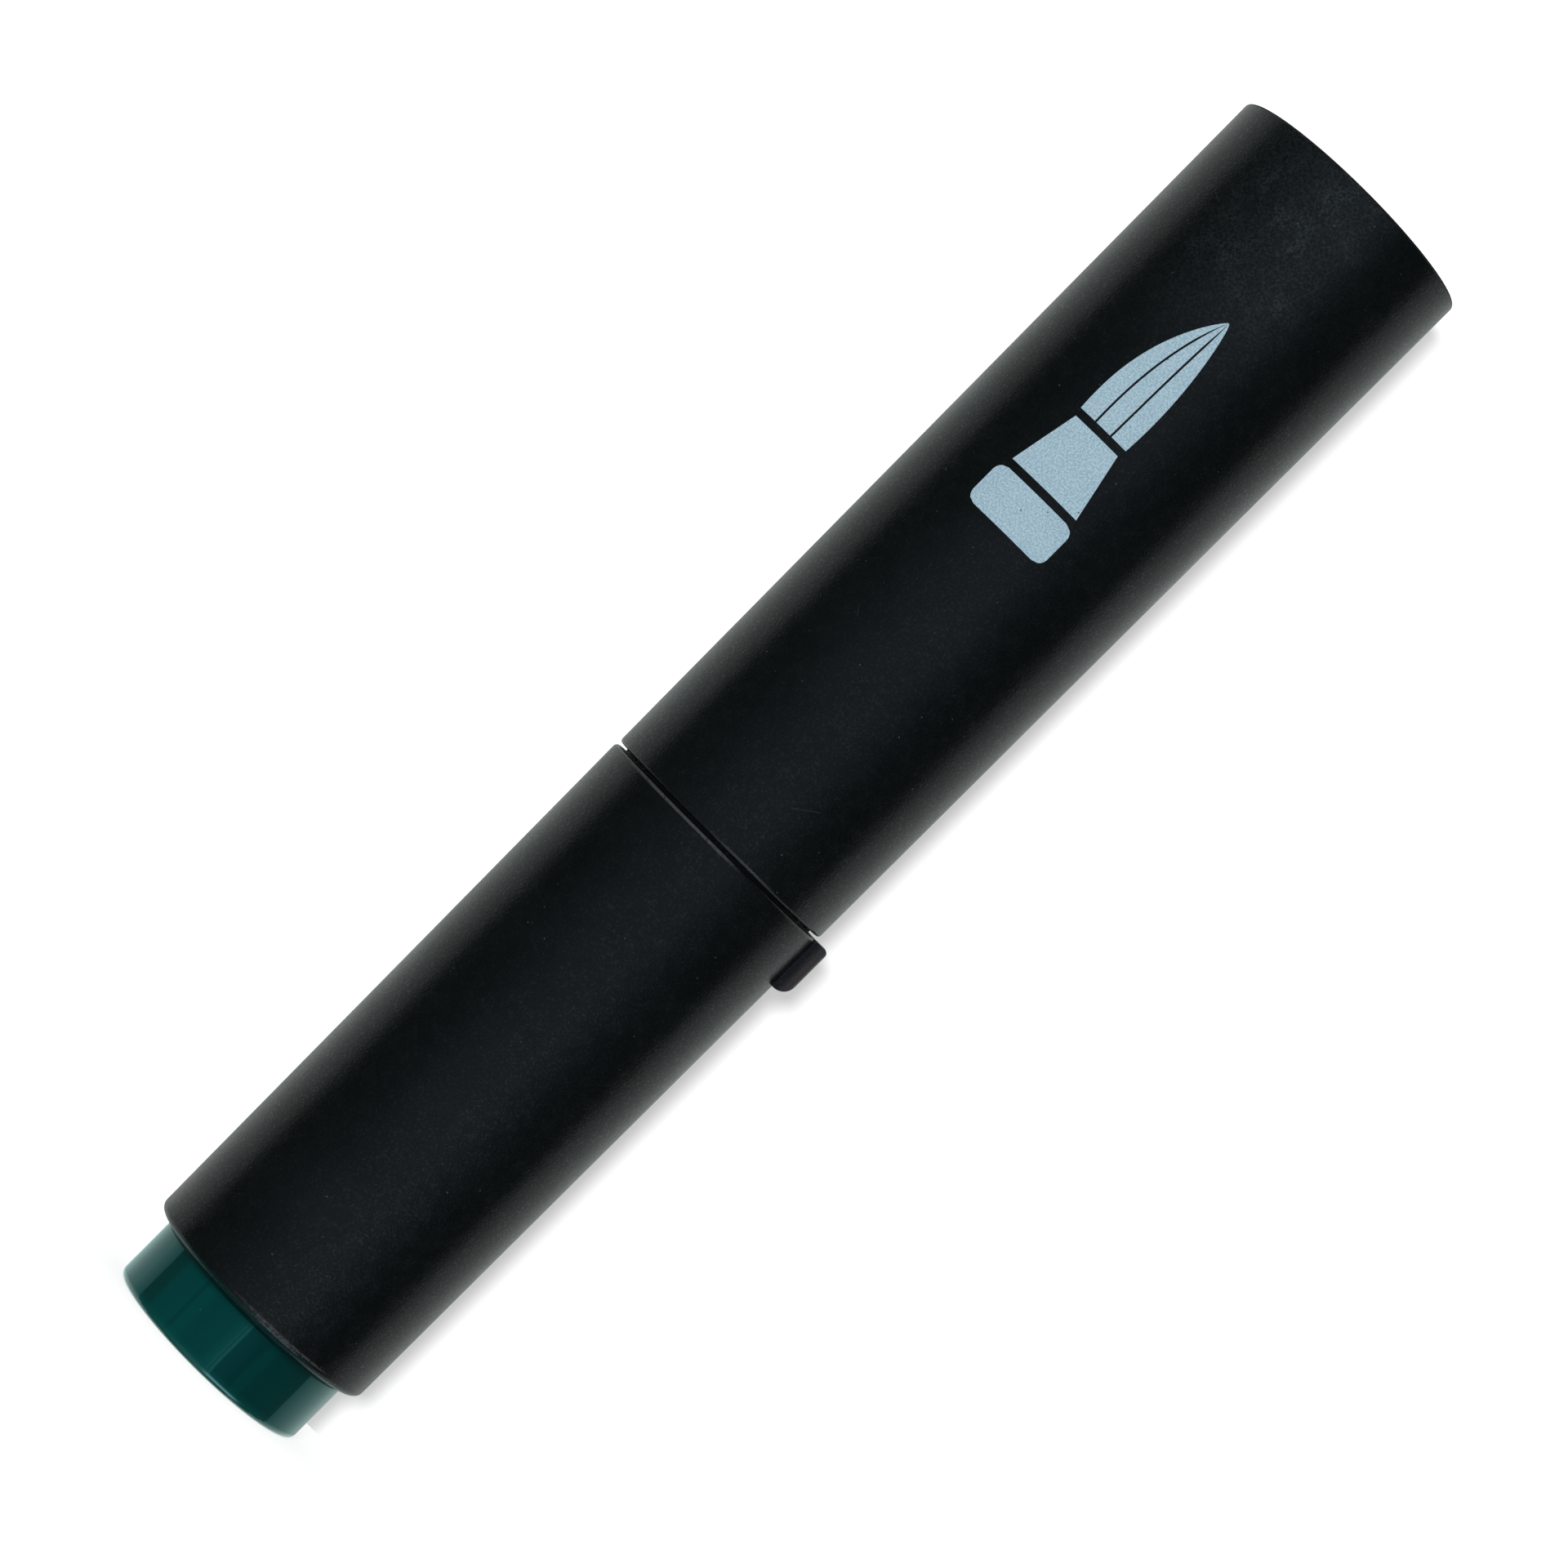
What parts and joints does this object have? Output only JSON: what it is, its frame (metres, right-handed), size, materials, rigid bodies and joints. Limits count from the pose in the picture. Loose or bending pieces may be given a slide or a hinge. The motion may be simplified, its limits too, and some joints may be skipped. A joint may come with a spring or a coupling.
{
  "type": "brush tip marker",
  "caption": "Capped brush tip marker: a matt tapered cap in line with a handle, a small anti-roll nub at the seam, and the glossy coloured end of a slide-in ink cartridge below.",
  "frame": {"origin": "centre of the flat closed end of the ink cartridge, which the marker stands on", "axes": "+Z along the marker's axis from the cartridge end to the cap's closed end, +X towards the anti-roll nub"},
  "size_m": [0.0184, 0.0176, 0.0992],
  "materials": {
    "cap_plastic": "black, fine spark-eroded grain",
    "handle_plastic": "black, fine spark-eroded grain",
    "nose_plastic": "black, smooth satin",
    "natural_plastic": "undyed, milky satin",
    "cartridge_plastic": "dark green, glossy",
    "brush_fibre": "fine lengthwise fibre, stained by the ink",
    "film": "clear film",
    "ink_fibre": "ink-soaked lengthwise fibre"
  },
  "bodies": {
    "cartridge": {"cartridge_barrel": "cartridge_plastic", "cartridge_neck": "natural_plastic", "reservoir_film": "film", "ink_reservoir": "ink_fibre"},
    "handle": {"handle_sleeve": "handle_plastic", "nose_cone": "nose_plastic", "brush_nib": "brush_fibre"},
    "cap": {"cap_shell": "cap_plastic", "inner_cap": "natural_plastic"}
  },
  "joints": [
    {"name": "handle_pull", "type": "slide", "parent": "cartridge", "child": "handle", "axis": [0, 0, 1], "range_m": [0, 0.055]},
    {"name": "cap_pull", "type": "slide", "parent": "handle", "child": "cap", "axis": [0, 0, 1], "range_m": [0, 0.045]}
  ]
}
